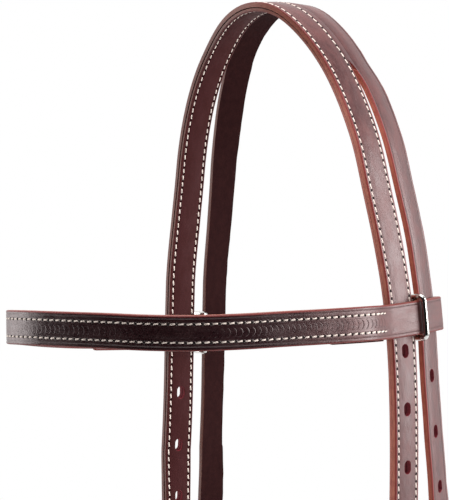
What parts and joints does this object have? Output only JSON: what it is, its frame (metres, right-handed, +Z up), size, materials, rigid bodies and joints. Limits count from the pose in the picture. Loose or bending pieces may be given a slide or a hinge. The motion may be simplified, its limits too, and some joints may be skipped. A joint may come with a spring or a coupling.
{
  "type": "western headstall",
  "caption": "Western browband headstall: split-tail crown, browband with metal end loops, buckled cheek pieces with bit loops, and a throatlatch.",
  "frame": {"origin": "the poll: the underside of the crown's lining at the top of the arch, in the middle of the two crown halves", "axes": "+Z up, -Y the way the horse faces, +X the near (left) side"},
  "size_m": [0.1709, 0.1851, 0.5069],
  "materials": {
    "crown": "oxblood bridle leather, 2.6 mm, smooth grain out",
    "crown_lining": "oxblood lining leather, 1.8 mm, stitched under the front half",
    "browband": "oxblood bridle leather, 2.2 mm, tooled between two stitched rows",
    "browband_lining": "oxblood lining leather, 2.2 mm",
    "near_cheek": "oxblood bridle leather, 2.2 mm, folded at both ends",
    "off_cheek": "oxblood bridle leather, 2.2 mm, folded at both ends",
    "near_cheek_lining": "oxblood lining leather, 2.2 mm",
    "off_cheek_lining": "oxblood lining leather, 2.2 mm",
    "near_cheek_fixed_keeper": "oxblood leather, 1.8 mm, edge dressed",
    "near_cheek_sliding_keeper": "oxblood leather, 1.8 mm, edge dressed",
    "off_cheek_fixed_keeper": "oxblood leather, 1.8 mm, edge dressed",
    "off_cheek_sliding_keeper": "oxblood leather, 1.8 mm, edge dressed",
    "throat_fixed_keeper": "oxblood leather, 1.8 mm, edge dressed",
    "throat_sliding_keeper": "oxblood leather, 1.8 mm, edge dressed",
    "near_browband_loop": "polished stainless steel wire, 2.7 mm",
    "off_browband_loop": "polished stainless steel wire, 2.7 mm",
    "near_cheek_buckle": "polished stainless steel wire, 3.2 mm",
    "near_cheek_tongue": "polished stainless steel wire, 2.1 mm",
    "off_cheek_buckle": "polished stainless steel wire, 3.2 mm",
    "off_cheek_tongue": "polished stainless steel wire, 2.1 mm",
    "throat_buckle": "polished stainless steel wire, 3.2 mm",
    "throat_tongue": "polished stainless steel wire, 2.1 mm",
    "near_cheek_upper_post": "polished stainless steel",
    "near_cheek_upper_screw": "polished stainless steel",
    "near_cheek_lower_post": "polished stainless steel",
    "near_cheek_lower_screw": "polished stainless steel",
    "off_cheek_upper_post": "polished stainless steel",
    "off_cheek_upper_screw": "polished stainless steel",
    "off_cheek_lower_post": "polished stainless steel",
    "off_cheek_lower_screw": "polished stainless steel"
  },
  "bodies": {
    "straps": {"crown": "crown", "crown_lining": "crown_lining", "near_cheek": "near_cheek", "near_cheek_lining": "near_cheek_lining", "off_cheek": "off_cheek", "off_cheek_lining": "off_cheek_lining", "near_cheek_fixed_keeper": "near_cheek_fixed_keeper", "off_cheek_fixed_keeper": "off_cheek_fixed_keeper", "throat_fixed_keeper": "throat_fixed_keeper", "near_cheek_upper_post": "near_cheek_upper_post", "near_cheek_upper_screw": "near_cheek_upper_screw", "near_cheek_lower_post": "near_cheek_lower_post", "near_cheek_lower_screw": "near_cheek_lower_screw", "off_cheek_upper_post": "off_cheek_upper_post", "off_cheek_upper_screw": "off_cheek_upper_screw", "off_cheek_lower_post": "off_cheek_lower_post", "off_cheek_lower_screw": "off_cheek_lower_screw"},
    "browband": {"browband": "browband", "browband_lining": "browband_lining"},
    "near_loop": {"near_browband_loop": "near_browband_loop"},
    "off_loop": {"off_browband_loop": "off_browband_loop"},
    "near_cheek_buckle": {"near_cheek_buckle": "near_cheek_buckle"},
    "near_cheek_tongue": {"near_cheek_tongue": "near_cheek_tongue"},
    "near_cheek_sliding_keeper": {"near_cheek_sliding_keeper": "near_cheek_sliding_keeper"},
    "off_cheek_buckle": {"off_cheek_buckle": "off_cheek_buckle"},
    "off_cheek_tongue": {"off_cheek_tongue": "off_cheek_tongue"},
    "off_cheek_sliding_keeper": {"off_cheek_sliding_keeper": "off_cheek_sliding_keeper"},
    "throat_buckle": {"throat_buckle": "throat_buckle"},
    "throat_tongue": {"throat_tongue": "throat_tongue"},
    "throat_sliding_keeper": {"throat_sliding_keeper": "throat_sliding_keeper"}
  },
  "joints": [
    {"name": "browband_slide", "type": "slide", "parent": "straps", "child": "browband", "axis": [0.1045, 0, -0.9945], "range_m": [-0.0045, 0.0055]},
    {"name": "near_loop_slide", "type": "slide", "parent": "browband", "child": "near_loop", "axis": [0.1125, -0.9936, 0.0125], "range_m": [-0.0002, 0.0002]},
    {"name": "off_loop_slide", "type": "slide", "parent": "browband", "child": "off_loop", "axis": [-0.1125, -0.9909, 0.0745], "range_m": [-0.0015, 0.0015]},
    {"name": "near_cheek_buckle_hinge", "type": "hinge", "parent": "straps", "child": "near_cheek_buckle", "pos_m": [0.08614, -0.00435, -0.27689], "axis": [0, 1, 0], "range_deg": [0, 1.5]},
    {"name": "near_cheek_tongue_hinge", "type": "hinge", "parent": "near_cheek_buckle", "child": "near_cheek_tongue", "pos_m": [0.08614, -0.00435, -0.27689], "axis": [0, 1, 0], "range_deg": [0, 0.8]},
    {"name": "near_cheek_keeper_slide", "type": "slide", "parent": "straps", "child": "near_cheek_sliding_keeper", "axis": [0, 0, -1], "range_m": [-0.03, 0.012]},
    {"name": "off_cheek_buckle_hinge", "type": "hinge", "parent": "straps", "child": "off_cheek_buckle", "pos_m": [-0.0521, -0.02025, -0.28998], "axis": [0, -1, 0], "range_deg": [0, 1.5]},
    {"name": "off_cheek_tongue_hinge", "type": "hinge", "parent": "off_cheek_buckle", "child": "off_cheek_tongue", "pos_m": [-0.0521, -0.02025, -0.28998], "axis": [0, -1, 0], "range_deg": [0, 0.8]},
    {"name": "off_cheek_keeper_slide", "type": "slide", "parent": "straps", "child": "off_cheek_sliding_keeper", "axis": [0, 0, -1], "range_m": [-0.03, 0.012]},
    {"name": "throat_buckle_hinge", "type": "hinge", "parent": "straps", "child": "throat_buckle", "pos_m": [0.08783, 0.02355, -0.29109], "axis": [0, 1, 0], "range_deg": [0, 2]},
    {"name": "throat_tongue_hinge", "type": "hinge", "parent": "throat_buckle", "child": "throat_tongue", "pos_m": [0.08783, 0.02355, -0.29109], "axis": [0, 1, 0], "range_deg": [0, 2]},
    {"name": "throat_keeper_slide", "type": "slide", "parent": "straps", "child": "throat_sliding_keeper", "axis": [0, 0, -1], "range_m": [-0.03, 0.012]}
  ]
}
